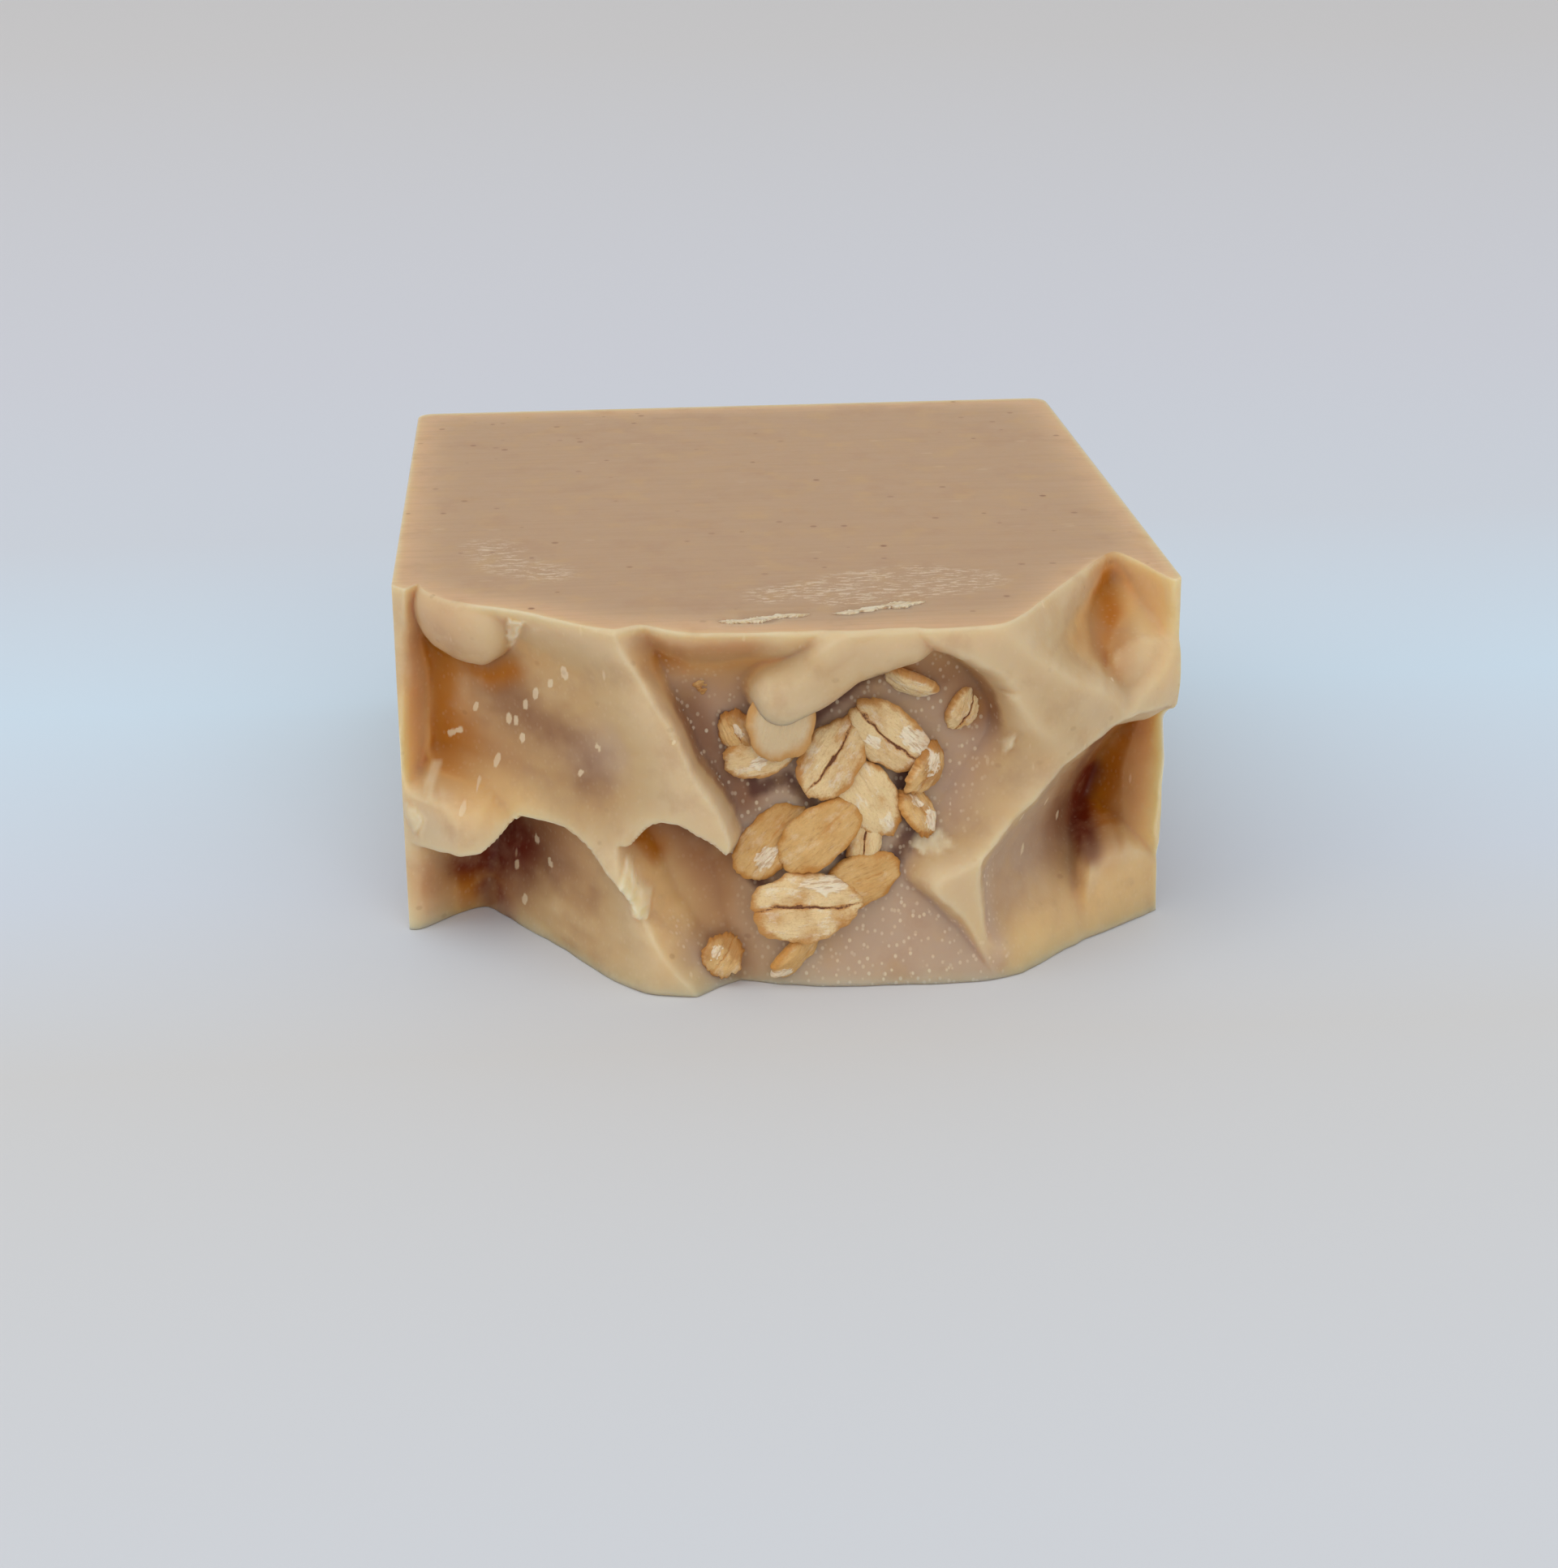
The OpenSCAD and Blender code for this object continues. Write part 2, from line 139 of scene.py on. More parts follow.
def valley(x, z):
    left = follow(z, [[-3, -5], [0, -5.6], [5, -6.5], [10, -6], [13.2, -4.6], [15, -5.3], [20, -8.1],
                      [24.5, -10.2], [27.5, -11.2], [31.5, -12.8]], 0.8)
    left_rise = follow(z, [[0, 3], [4, 0.8], [11, 0.8], [13.5, 4], [24, 4], [27, 1.5], [31.5, 0.8]], 1)
    right = follow(z, [[-3, 17.6], [1.5, 16], [6, 12.2], [9.5, 8.2], [12, 10.5], [17, 13.4], [20.5, 16.2],
                       [23, 16.8], [26, 15], [28.3, 12.3], [29.5, 9]], 1.2)
    right_rise = follow(z, [[0, 1.2], [6, 1.2], [8, 1.6], [9.5, 1.8], [11.5, 0.6], [13, 0.35], [17, 0.35],
                            [20.5, 0.7], [23, 2]], 1)
    return valley_bed(x, z) + left_rise * above0(left - x) + right_rise * above0(x - right) + head(x, z)


def arch(x, z):
    floor = follow(z, [[-3, 14.4], [0, 13.6], [5, 11.4], [9, 9.6], [13, 8.6]], 2)
    left = follow(z, [[-3, -4], [0, -5.2], [4, -8], [8, -10.6], [12.5, -12.6]], 1)
    right = follow(z, [[0, -5], [5, -6.5], [12, -8]], 1)
    brow = follow(x, [[-14, 12.2], [-13, 13.2], [-11.5, 13.8], [-9.5, 13.4], [-7.5, 12], [-6, 10.5]], 0.6)
    return floor + 0.85 * above0(left - x) + 0.35 * above0(x - right) + 4 * above0(z - brow)


def lower_left(x, z):
    shelf = follow(x, [[-33, 8.4], [-30.8, 7.7], [-28.8, 7.1], [-27, 7.5], [-25.6, 8.6], [-24.6, 10],
                       [-23.4, 11.1], [-22, 11.5], [-20.3, 11.8], [-19, 11.5], [-17.5, 10.6],
                       [-16.5, 9.4], [-14.9, 8], [-12, 5.6], [-9.2, 3], [-6.8, 0.3], [-5, -2]], 0.4)
    scoop = stroke(x, z, (-25.4, 8.5, -5), (-27.4, -1, -4.2), (1, 1.7, 1, 0.8), 1.2)
    return scoop + 5 * above0(z - shelf)


def crescent(x, z):
    floor = follow(z, [[0, 6.7], [3, 4.9], [5.5, 1], [8, -3.6], [10, -4.9], [13, -4.8], [16, -3.6],
                       [19, -1.5], [21, 0]], 1)
    crease = follow(z, [[0, 27.5], [8, 27.4], [10, 27.7], [14, 29.2], [17, 30.8], [20, 32.5]], 1.5)
    rise_l = follow(z, [[0, 0.93], [5, 1.05], [8, 1.4], [12, 1.6]], 1)
    rise_r = follow(z, [[0, -0.8], [3, -0.7], [6, 0.2], [8, 1.2], [10, 1.4]], 1)
    left = follow(z, [[-2, 16.4], [3, 16.2], [8, 15.8], [11, 15.5], [13.6, 15.9], [15.5, 17], [17, 18.8],
                      [19, 22.4]], 0.8)
    top = follow(x, [[14, 13.5], [15, 15.1], [16, 16.2], [17, 17.2], [19.6, 19], [23, 20.2], [27.4, 20.5],
                     [32, 20], [34, 19.4]], 0.8)
    side = rise_l * rounded0(crease - x, 0.7) + rise_r * rounded0(x - crease, 0.7)
    return floor + side + 2 * above0(left - x) + 5 * above0(z - top)


def right_groove(x, z):
    floor = follow(z, [[22, -4], [27, -5.6], [31.5, -7]], 1)
    crease = follow(z, [[22, 28.4], [26, 28.8], [31.5, 29.5]], 1)
    rise_l = follow(z, [[22, 5], [25, 3.2], [28, 2.1], [31.5, 1.6]], 1)
    rise_r = follow(z, [[22, 1.5], [28, 2], [31.5, 2.9]], 1)
    side = rise_l * rounded0(crease - x, 0.5) + rise_r * rounded0(x - crease, 0.5)
    return floor + side + 2.5 * rounded0(25.5 - z, 1)


def mound(x, z):
    brow = follow(x, [[20, 3.5], [24, 5], [26, 6.2], [27.7, 7], [29.7, 7.2], [32, 6.3], [33.8, 4.6]], 0.6)
    back = 4.6 * rounded0(z - brow, 0.4 + 0.9 * above0(26.5 - x))
    return 7.2 - 0.8 * (x - 27.5) - 0.12 * z - 1.05 * rounded0(26.5 - x, 1.5) - back


def relief(x, z):
    top = crown(x, z)
    h = lower(top, stroke(x, z, (-30.8, 26, -4.4), (-30.4, 16.5, -4), (2, 1.06, 1.5, 1.5), 1.6), 2.5)
    h = lower(h, stroke(x, z, (-31.5, 15, -3.6), (-30.7, 33, -3.2), (1.6, 2, 2, 2), 0.8), 0.8)
    h = lower(h, right_groove(x, z), 2.5)
    under_top = np.clip(above0(z - 25) * above0(x + 12.5) / 6, 0, 1)
    on_bank = np.clip((x - 9) / 4, 0, 1) * np.clip((26 - z) / 3, 0, 1) * np.clip((z - 8) / 3, 0, 1)
    h = lower(h, valley(x, z), 0.3 + 2.2 * under_top + 3 * on_bank)
    h = higher(h, dome(x, z, (-28.6, 11, 1.2), (4.9, 2.9), 3.6, 0.1), 1.6)
    h = lower(h, lower(top, lower_left(x, z), 3), 0.3)
    h = lower(h, arch(x, z), 0.3)
    h = lower(h, crescent(x, z), 0.4)
    h = higher(h, mound(x, z), 1.1)
    h = higher(h, dome(x, z, (-27.4, 29.3, -1), (4.3, 4.2), 4.5, 0.5), 0.8)
    beneath = np.clip(((z - 25.4) * 0.83 - (x + 1.4) * 0.55) / 2, 0, 1)
    h = higher(h, lump(x, z, (3.4, 28.4, 9.8), (-1.3, 25.4, 10), 2.9, 4.1, 1.6), 0.3 + 2.2 * beneath)
    h = higher(h, dome(x, z, (30.8, 22.6, 2.2), (4.6, 4), 2.8, -0.6), 2.6)
    return higher(h, lump(x, z, (9, 30.4, 9.4), (3.4, 28.9, 9.7), 3.2, 4.2, 1.6), 0.3 + 2.2 * beneath)


def ripple(size, seed, *place):
    """Smooth unevenness between -1 and 1, with lumps of about size mm."""
    table = np.random.default_rng(seed).uniform(-1, 1, 4096)
    cell = [np.floor(p / size).astype(np.int64) for p in place]
    part = [p / size - c for p, c in zip(place, cell)]
    part = [p * p * (3 - 2 * p) for p in part]
    total = 0
    for corner in range(2 ** len(place)):
        share, key = 1, 0
        for i in range(len(place)):
            bit = corner >> i & 1
            share = share * (part[i] if bit else 1 - part[i])
            key = key + (cell[i] + bit) * (374761, 668265, 982451)[i]
        total = total + share * table[key & 4095]
    return total


# Rags of soap that the spoon tore off the crests and left standing a little proud.
torn = [([(-15.6, 8.9), (-14.6, 11.3), (-13.5, 9.2), (-12.6, 8.4), (-13, 6.5), (-14.1, 6.4),
          (-14.7, 8)], 0.7),
        ([(-23.9, 30.6), (-22.6, 30.5), (-23.1, 28.6), (-23.7, 27), (-24.1, 28.6)], 0.5),
        ([(-31.9, 13.9), (-31.2, 15.1), (-30.5, 15), (-31.4, 13.5)], 0.35),
        ([(-33.5, 11.7), (-33, 12.4), (-31.8, 11.5), (-32.4, 9.5), (-33.1, 10.4)], 0.4),
        ([(17.4, 20.4), (18.4, 21.2), (18.2, 20), (17.6, 19.4)], 0.35),
        ([(10.2, 12.4), (12, 12.9), (13.2, 11.9), (11.4, 11.2), (9.6, 11.4)], 0.4)]


def inward(x, z, outline):
    """How far a place lies inside a drawn outline; below 0 outside it."""
    best, inside = 99, np.zeros_like(x, bool)
    for a, b in zip(outline, outline[1:] + outline[:1]):
        t, dx, dz = nearest(x, z, (*a, 0), (*b, 0))
        best = np.minimum(best, np.sqrt(dx * dx + dz * dz))
        if a[1] != b[1]:
            crossing = (b[0] - a[0]) * (z - a[1]) / (b[1] - a[1]) + a[0]
            inside ^= ((z < a[1]) != (z < b[1])) & (x < crossing)
    return np.where(inside, best, -best)


def worked_face(x, z):
    """The relief with the small unevenness that the spoon and the wire left."""
    sag = 0.16 * ripple(5.5, 1, x, z) + 0.06 * ripple(2.1, 2, x, z)
    h = relief(x + 0.25 * ripple(3.4, 3, x, z) + 0.07 * ripple(0.8, 8, x, z),
               z + 0.2 * ripple(2.9, 4, x, z) + 0.09 * ripple(0.9, 9, x, z)) + sag
    fray = 0.35 * ripple(0.5, 6, x, z) + 0.2 * ripple(0.25, 7, x, z)
    for outline, proud in torn:
        rag = np.clip((inward(x + fray * 0.5, z + fray * 0.5, outline) + 0.1) / 0.25, 0, 1)
        h = h + proud * rag * (1 + fray)
    round_over = 0.35 + 0.25 * ripple(3, 5, x, z * 0)
    for edge in (slice_t - z, z):
        d = np.clip(1 - edge / round_over, 0, 1)
        h = h - round_over * (1 - np.sqrt(1 - d * d)) * 0.9
    return h


def lean(x, z):
    """How far the moulded sides lean out at their rims."""
    right = follow(z, [[0, -0.1], [12, 0], [14.5, 0.25], [18.5, 0], [19.8, 1], [31.5, 1]], 0.4)
    return np.where(x < 0, -left_flare, right * right_flare) * (2 * x / loaf_w) ** 4


def oval(dx, dy, length, width, spin):
    """Below 1 inside an oval that is turned by spin degrees about its middle."""
    c, s = math.cos(math.radians(spin)), math.sin(math.radians(spin))
    return ((c * dx + s * dy) * 2 / length) ** 2 + ((c * dy - s * dx) * 2 / width) ** 2


def graded(n, fine_ends):
    t = np.linspace(0, 1, n)
    return t - fine_ends * np.sin(2 * math.pi * t) / (2 * math.pi)


# Where the wire cut two flakes in the upper face: name, x, y, length, width and spin. Its drag left
# each of them in a shallow scar.
slivers = (("oat_sliver_left", -2.6, -40.6, 7.6, 1.5, 11),
           ("oat_sliver_right", 7.3, -38.7, 8.4, 1.9, 18))
scar_deep = 0.25
# The skin is a grid over the worked face, finer toward its ends, and coarser strips behind it.
cols, rows, deep = 356, 158, 34
face_x = loaf_w * (graded(cols, 0.35) - 0.5)
face_z = slice_t * graded(rows, 0.6)
back_s = (graded(2 * deep - 1, 0.0)[:deep] * 2) ** 1.5
X, Z = np.meshgrid(face_x, face_z, indexing="ij")
front = np.stack([X + lean(X, Z), rim_y - worked_face(X, Z), Z], -1)
verts, quads = [], []


def patch(points, flip=False):
    """Adds a grid of points to the bar's skin."""
    n, m = points.shape[:2]
    start = sum(len(v) for v in verts)
    verts.append(points.reshape(-1, 3))
    k = start + np.arange(n * m).reshape(n, m)
    q = np.stack([k[:-1, :-1], k[1:, :-1], k[1:, 1:], k[:-1, 1:]], -1).reshape(-1, 4)
    quads.append(q[:, ::-1] if flip else q)


patch(front)
back_y = block_d / 2
s = back_s[None, :]
for k, flip in ((0, True), (rows - 1, False)):
    edge = front[:, k]
    x = edge[:, :1] * (1 - s) + (face_x[:, None] * (1 - 0 * s)) * s
    y = edge[:, 1:2] * (1 - s) + back_y * s
    corner = above0(np.abs(x) - (loaf_w / 2 - mould_r))
    y = np.minimum(y, back_y - mould_r + np.sqrt(above0(mould_r ** 2 - corner ** 2)))
    scar = 0
    for name, cx, cy, length, width, spin in slivers:
        e = oval(x - cx, y - cy, length + 0.2, width + 0.5, spin)
        scar = np.maximum(scar, np.clip(2 * (1.25 - e), 0, 1))
    patch(np.stack([x, y, (slice_t - scar_deep * scar) * (k > 0)], -1), flip)
for i, flip in ((0, False), (cols - 1, True)):
    edge = front[i]
    x = edge[:, :1] * (1 - s) + face_x[i] * s
    y = edge[:, 1:2] * (1 - s) + (back_y - mould_r) * s
    patch(np.stack([x, y, edge[:, 2:] + 0 * s], -1), flip)
t = np.linspace(0, 1, 9)[None, :]
bx = face_x[:, None] + 0 * t
corner = above0(np.abs(bx) - (loaf_w / 2 - mould_r))
by = back_y - mould_r + np.sqrt(above0(mould_r ** 2 - corner ** 2))
patch(np.stack([bx, by, slice_t * t + 0 * bx], -1), True)
skin = np.concatenate(verts)
soap_mesh = bpy.data.meshes.new("soap_bar_cast")
soap_mesh.from_pydata((skin * MM).tolist(), [], np.concatenate(quads).tolist())
soap_mesh.polygons.foreach_set("use_smooth", [True] * len(soap_mesh.polygons))

# How much soap lies round each point of the skin. The colour paints light and shade with it: thin crests and
# edges get a painted cream glow, as light let through, and the bottom of a hollow gets painted shade in dark
# mauve.
# Under the bar its own section is carried on, as if it lay in its stack.
step = 0.5
gx, gy, gz = (np.arange(a, b, step) for a, b in ((-42, 42.1), (-57, 41), (-9, 41)))
GX, GZ = np.meshgrid(gx, gz, indexing="ij")
solids = []
for lowest in (0, -99):
    inside = (np.abs(GX) <= loaf_w / 2) & (GZ >= lowest) & (GZ <= slice_t)
    reach = np.where(inside, rim_y - relief(np.clip(GX, -33.5, 33.5), np.clip(GZ, 0, slice_t)), 99)
    solids.append((np.clip((gy[None, :, None] - reach[:, None, :]) / step + 0.5, 0, 1)
                   * np.clip((back_y - gy[None, :, None]) / step + 0.5, 0, 1)).astype(np.float32))


def spread(field, sigma):
    n = int(2.6 * sigma / step)
    tap = np.exp(-0.5 * (np.arange(-n, n + 1) * step / sigma) ** 2)
    tap /= tap.sum()
    for axis in range(3):
        field = np.apply_along_axis(lambda line: np.convolve(line, tap, "same"), axis, field)
    return field


def sampled(field, points):
    t = [(points[:, i] - g[0]) / step for i, g in enumerate((gx, gy, gz))]
    c = [np.clip(v.astype(int), 0, n - 2) for v, n in zip(t, field.shape)]
    f = [v - k for v, k in zip(t, c)]
    total = 0
    for corner in range(8):
        b = [corner >> i & 1 for i in range(3)]
        share = np.prod([f[i] if b[i] else 1 - f[i] for i in range(3)], axis=0)
        total = total + share * field[c[0] + b[0], c[1] + b[1], c[2] + b[2]]
    return total


def mark(mesh, name, values):
    mesh.attributes.new(name, "FLOAT", "POINT").data.foreach_set("value", np.asarray(values, np.float32))


near_reach, wide_reach = 1.0, 3.2
mark(soap_mesh, "near", sampled(spread(solids[0], near_reach), skin))
mark(soap_mesh, "wide", sampled(spread(solids[1], wide_reach), skin))
on_face = (np.arange(len(skin)) < cols * rows).astype(float)
mark(soap_mesh, "face", on_face)
height_out = rim_y - skin[:, 1]
valley_share = np.clip(1 - np.abs(height_out - valley_bed(skin[:, 0], skin[:, 2])) / 1.5, 0, 1)
valley_share = valley_share * np.clip((skin[:, 0] + 12) / 2, 0, 1) * np.clip((19 - skin[:, 0]) / 2, 0, 1)
mark(soap_mesh, "bed", valley_share * on_face)
# Light soaks in from the upper face and from the left end, for a few mm.
soak = 4.5
from_top = np.exp(-((slice_t - skin[:, 2]) / soak) ** 2)
from_left = np.exp(-((loaf_w / 2 - np.abs(skin[:, 0])) / soak) ** 2) * (skin[:, 0] < 0)
mark(soap_mesh, "lit", np.maximum(from_top, from_left) * on_face)
rag = 0
for outline, proud in torn:
    rag = np.maximum(rag, np.clip(inward(skin[:, 0], skin[:, 2], outline) * 3 + 0.6, 0, 1))
mark(soap_mesh, "rag", rag * on_face)


def brushed(x, z, line, w):
    """1 along a drawn line, fading to 0 at w from it."""
    best = 0
    for a, b in zip(line[:-1], line[1:]):
        t, dx, dz = nearest(x, z, (*a, 0), (*b, 0))
        best = np.maximum(best, np.clip(1 - np.sqrt(dx * dx + dz * dz) / w, 0, 1))
    return best


# Where the wire dragged on the upper face it left a chalky smear.
smear = np.maximum(brushed(skin[:, 0], skin[:, 1], [(-1.6, -34.7), (2.3, -33.6), (6.3, -30.9), (12.1, -29.9),
                                                    (17.1, -32), (13.5, -34), (4, -36)], 3.2),
                   0.7 * brushed(skin[:, 0], skin[:, 1], [(-25.6, -17.9), (-24, -24), (-20.4, -26.6)], 4))
mark(soap_mesh, "smear", smear * (1 - on_face) * (skin[:, 2] > slice_t - 0.1))
# Where the soap's colour leaves its usual run, as drawn lines with a width: a painted amber glow of light let
# through by the moulded sides and in some crevices, painted dark red shade in the two creases, painted mauve
# shade in the hollows and under the overhangs, a pale mist on their open floors, a painted butter-yellow glow
# of light let through by the rims, and painted dark shadow in the gaps under the tongue and between the
# flakes.
stains = {
    "amber": [([(-30.6, 29), (-31, 21.6), (-30.4, 17)], 5.4), ([(-29, 25.6), (-26, 23.6), (-24, 25)], 2),
              ([(-33, 4.6), (-30.2, 3.8), (-28, 3.2)], 4.4), ([(-11.8, 28.9), (-8.1, 29.4), (-4.5, 29.8)], 3),
              ([(28.6, 31.5), (28.8, 27.1), (28.6, 24.8)], 2.6),
              ([(28.4, 7.8), (29.6, 11.3), (30.8, 15.2), (31.4, 17.4)], 3.6),
              ([(-13.5, 12.6), (-12.2, 11)], 2), ([(14.4, 22.7), (14.6, 23)], 2.6),
              ([(9.7, 25.9), (8, 26.6)], 1.6)],
    "ember": [([(-28.6, 5.4), (-25.8, 4.8), (-24.2, 7.4)], 3.2), ([(-26.6, 2), (-25.8, 0)], 2.2),
              ([(26.6, 7.4), (27, 9.2), (28, 11.6)], 1.9)],
    "dusk": [([(12, 26.2), (15, 26), (16.6, 23.2)], 3.6), ([(-9.6, 24), (-7.2, 20), (-4.6, 15.8)], 2.8),
             ([(-24.8, 22.3), (-21.1, 20.9), (-17.4, 17.6)], 4.6),
             ([(-24, 8.6), (-22.2, 4.4), (-20, 1.6), (-17, 2.6)], 6.5),
             ([(-8.7, 13.8), (-6.5, 13.4)], 2.6), ([(28.6, 16), (26.6, 12), (25.4, 9), (25, 6.6)], 3.4)],
    "mist": [([(19.4, 13.6), (20, 8), (23, 3.4)], 6.5), ([(18, 15), (18, 9)], 3),
             ([(8, 4), (14, 2.6)], 6), ([(-17, 19), (-14, 22)], 4)],
    "butter": [([(-12.2, 9.4), (-10.6, 6)], 4), ([(-28, 14), (-24, 13)], 4), ([(33, 31), (33, 24)], 4.4),
               ([(33.4, 18), (32, 12), (32.6, 8)], 4.4), ([(21, 3), (31, 4)], 5),
               ([(-33.5, 22), (-33.5, 14)], 2.2)],
    "gap": [([(1.2, 22.6), (3, 24), (4.8, 25.4), (7, 26.5)], 1.7),
            ([(9.4, 18.6), (8.9, 16.6), (9.9, 13), (8.4, 10.6)], 1.4),
            ([(-4.6, 20.4), (-3.5, 16.4), (-0.8, 17.4), (1, 15.4), (4, 10.6)], 1.2),
            ([(-6, 22.6), (-4.4, 19.4)], 1.2), ([(-4.6, 9.4), (-2.6, 7.8)], 1.1)]}
for name, lines in stains.items():
    stain = 0
    for line, w in lines:
        stain = np.maximum(stain, brushed(skin[:, 0], skin[:, 2], line, w))
    mark(soap_mesh, name, stain * on_face)
# Long bubbles that the spoon opened: x, z, length, width and spin.
bubble = 0
for x, z, length, width, spin in [
        (-21.9, 23.5, 1.3, 0.5, 80), (-22.8, 22.1, 1.1, 0.4, 85), (-19.4, 26.2, 1.3, 0.6, 100),
        (-20.6, 24.9, 0.9, 0.4, 80), (-24.3, 20.3, 1.2, 0.45, 88), (-23.7, 20.3, 1, 0.35, 88),
        (-23.2, 18.9, 1, 0.5, 85), (-27.2, 20.6, 1.1, 0.4, 70), (-29.5, 17.5, 0.9, 0.6, 30),
        (-28.8, 17.9, 0.9, 0.5, 20), (-25.5, 16.1, 1.5, 0.5, 70), (-28.6, 13, 1.1, 0.5, 60),
        (-27.2, 14.2, 0.7, 0.3, 60), (-18.3, 17.4, 0.8, 0.3, 60), (-23.6, 2.5, 1.1, 0.4, 80),
        (-24.2, 5.1, 1, 0.35, 80), (-21.2, 6.8, 0.9, 0.3, 100), (-22.3, 8.2, 0.9, 0.35, 95),
        (-16.8, 20.3, 0.8, 0.3, 120), (22.5, 12.2, 0.9, 0.3, 70), (20.2, 8.6, 0.8, 0.3, 75),
        (24.4, 9.1, 0.7, 0.3, 80), (19.4, 13.1, 0.8, 0.35, 60), (-10.6, 22.4, 0.7, 0.3, 120)]:
    e = oval(skin[:, 0] - x, skin[:, 2] - z, length, width, spin)
    bubble = np.maximum(bubble, np.clip(1.3 - e, 0, 1))
mark(soap_mesh, "bubble", bubble * on_face)
soap = bpy.data.objects.new("soap_bar_cast", soap_mesh)
bpy.context.collection.objects.link(soap)
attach(soap, "root")
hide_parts("soap_bar")


class Wire:
    """A socket of a material's node tree; sums on it add its Math nodes."""

    def __init__(self, tree, socket):
        self.tree, self.socket = tree, socket

    def node(self, kind, settings=(), inputs=(), out=0):
        made = self.tree.nodes.new("ShaderNode" + kind)
        for key, value in dict(settings).items():
            if key == "stops":
                bar = made.color_ramp.elements
                while len(bar) < len(value):
                    bar.new(0.5)
                for stop, (at, colour) in zip(bar, value):
                    stop.position, stop.color = at, tuple(colour) + (1,)
            else:
                setattr(made, key, value)
        for key, value in dict(inputs).items():
            if isinstance(value, Wire):
                self.tree.links.new(value.socket, made.inputs[key])
            else:
                made.inputs[key].default_value = value
        return Wire(self.tree, made.outputs[out])

    def sum(self, operation, *others):
        return self.node("Math", {"operation": operation}, dict(enumerate((self,) + others)))

    def __add__(self, other): return self.sum("ADD", other)
    def __mul__(self, other): return self.sum("MULTIPLY", other)
    def __sub__(self, other): return self.sum("SUBTRACT", other)
    def __rsub__(self, other): return self.node("Math", {"operation": "SUBTRACT"}, {0: other, 1: self})
    __radd__, __rmul__ = __add__, __mul__

    def over(self, low, high):
        """0 below low, 1 above high, smooth between; low may be the larger one."""
        flip = low > high
        a = self.node("MapRange", {"interpolation_type": "SMOOTHSTEP"},
                      {0: self, 1: min(low, high), 2: max(low, high), 3: 0.0, 4: 1.0})
        return 1 - a if flip else a

    def mix(self, a, b):
        """Colour a where this is 0 and b where it is 1."""
        return self.node("Mix", {"data_type": "RGBA"}, {0: self, 6: a, 7: b}, 2)


def ink(r, g, b):
    """A colour read as 0 to 255 on a screen."""
    return tuple(((v / 255 + 0.055) / 1.055) ** 2.4 for v in (r, g, b)) + (1,)


def finish_of(name):
    material = bpy.data.materials.new(name)
    material.use_nodes = True
    tree = material.node_tree
    shader = tree.nodes["Principled BSDF"]
    return material, tree, Wire(tree, shader.outputs[0]), shader.inputs


soap_look, tree, w, skin_in = finish_of("cold_process_soap")
here = w.node("TexCoord", out=3)
place = w.node("VectorMath", {"operation": "SCALE"}, {0: here, "Scale": 1000.0})


def grain(size, detail=3.0, stretch=(1, 1, 1), seed=0.0, rough=0.5):
    moved = w.node("Mapping", {}, {0: place, 1: (seed, seed * 0.7, -seed), 3: stretch})
    return w.node("TexNoise", {}, {"Vector": moved, "Scale": 1 / size, "Detail": detail, "Roughness": rough})


def dots(cell, size, keep, stretch=(1, 1, 1), seed=0.0):
    """Round spots of about size mm, one in each cell that is kept."""
    moved = w.node("Mapping", {}, {0: place, 1: (seed, -seed, seed * 0.3), 3: stretch})
    cell_node = w.node("TexVoronoi", {}, {"Vector": moved, "Scale": 1 / cell, "Randomness": 1.0})
    colour = Wire(tree, cell_node.socket.node.outputs["Color"])
    pick = w.node("SeparateColor", {}, {0: colour})
    green = Wire(tree, pick.socket.node.outputs[1])
    spot = cell_node.over(size / cell, size * 0.45 / cell)
    return spot * pick.over(1 - keep, 1 - keep * 0.98) * (0.35 + 0.65 * green)


near_w, wide_w, face_w, bed_w, lit_w, smear_w, bubble_w, rag_w = (
    w.node("Attribute", {"attribute_name": n}, out=2)
    for n in ("near", "wide", "face", "bed", "lit", "smear", "bubble", "rag"))
painted_amber_glow_w, painted_crease_shade_w, painted_hollow_shade_w, mist_w, painted_rim_glow_w, painted_gap_shadow_w = (
    w.node("Attribute", {"attribute_name": n}, out=2) for n in stains)
clouds = grain(9, 4)
patches = grain(3.5, 4, seed=31)
fleck = grain(0.8, 3, seed=17)
depth = wide_w + 0.05 * (clouds - 0.5) + 0.04 * (patches - 0.5)
# Painted light and shade: the worked face is painted cream where little soap lies round a point, as light let
# through, and darker brown the more soap surrounds it, as shade in the hollows.
worked = depth.node("ValToRGB", {"stops": [(0.28, ink(210, 187, 150)[:3]), (0.40, ink(202, 174, 132)[:3]),
                                           (0.49, ink(197, 162, 116)[:3]), (0.56, ink(186, 144, 101)[:3]),
                                           (0.66, ink(168, 118, 76)[:3])]}, {0: depth})
worked = (bed_w * 0.75).mix(worked, ink(192, 165, 144))
worked = (mist_w.over(0, 1) * depth.over(0.42, 0.5) * 0.75).mix(worked, ink(190, 164, 140))
# Painted shade: mauve brown in the hollows and under the overhangs.
worked = (painted_hollow_shade_w.over(0, 0.9) * depth.over(0.46, 0.56) * 0.85).mix(worked, ink(136, 92, 64))
# Painted light: a butter-yellow glow by the rims, as light let through the thin walls.
worked = (painted_rim_glow_w.over(0, 1) * 0.6).mix(worked, ink(230, 192, 132))
worked = ((depth.over(0.46, 0.54) * lit_w) * 0.7).mix(worked, ink(240, 188, 114))
lit_deep = depth.over(0.45, 0.57).sum("MAXIMUM", 0.5)
